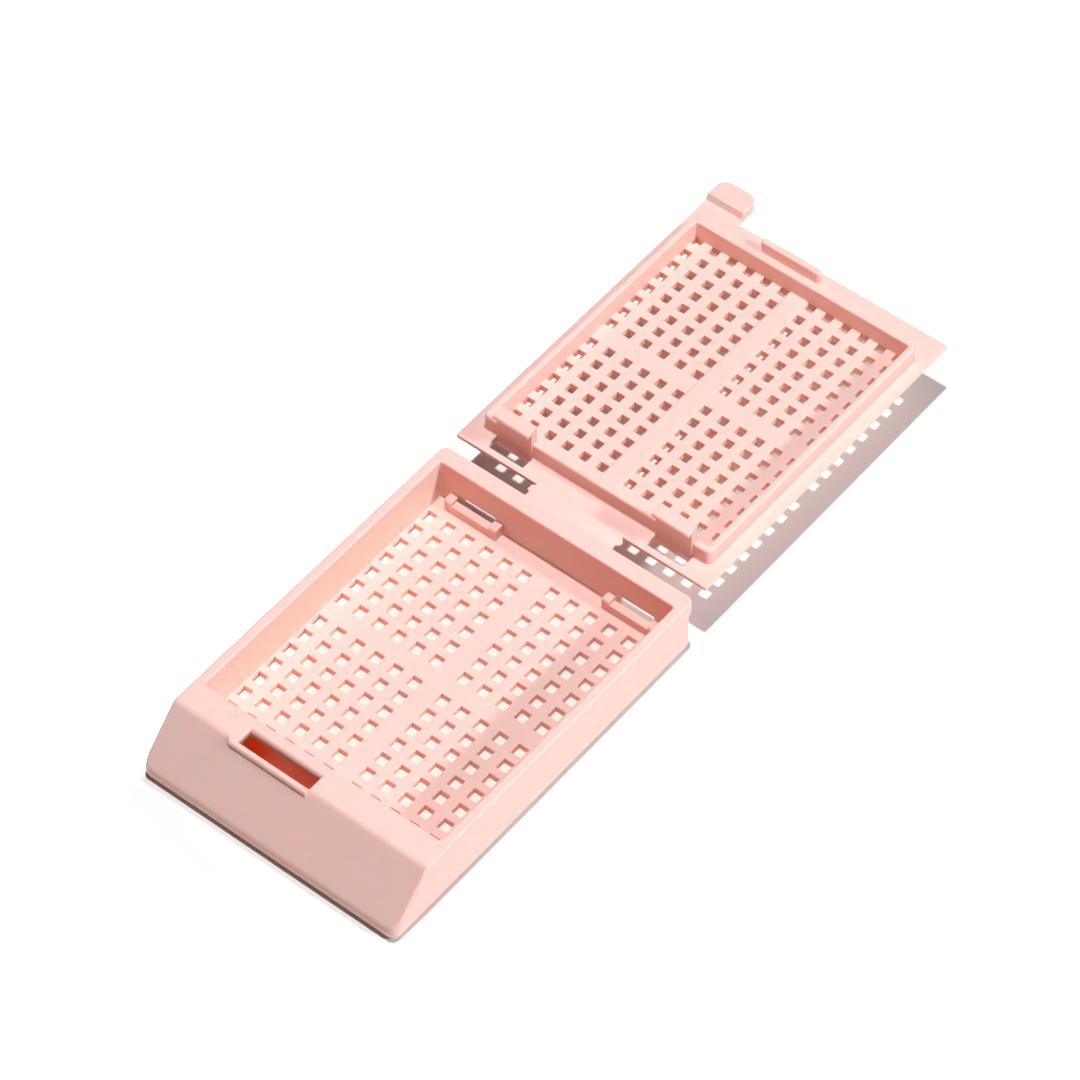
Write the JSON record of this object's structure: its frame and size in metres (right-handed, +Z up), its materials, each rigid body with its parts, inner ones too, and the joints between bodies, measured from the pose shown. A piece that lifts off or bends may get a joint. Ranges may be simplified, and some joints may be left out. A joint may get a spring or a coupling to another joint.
{
  "type": "tissue cassette",
  "caption": "Shallow rectangular tray with a perforated floor and slanted writing face, joined by a film hinge to a perforated snap lid that lies open flat.",
  "frame": {"origin": "middle of the open cassette's box, on the surface that the tray stands on", "axes": "+X across the cassette, +Y from the writing face towards the lid's pull tab, +Z up"},
  "size_m": [0.0288, 0.0836, 0.01],
  "materials": {
    "acetal": "satin, slightly translucent"
  },
  "bodies": {
    "base": {"base_tray": "acetal", "hinge_film": "acetal"},
    "lid": {"lid": "acetal"}
  },
  "joints": [
    {"name": "lid_hinge", "type": "hinge", "parent": "base", "child": "lid", "pos_m": [0, 0.00067, 0.00622], "axis": [1, 0, 0], "range_deg": [0, 180], "deforming": ["hinge_film"]}
  ]
}
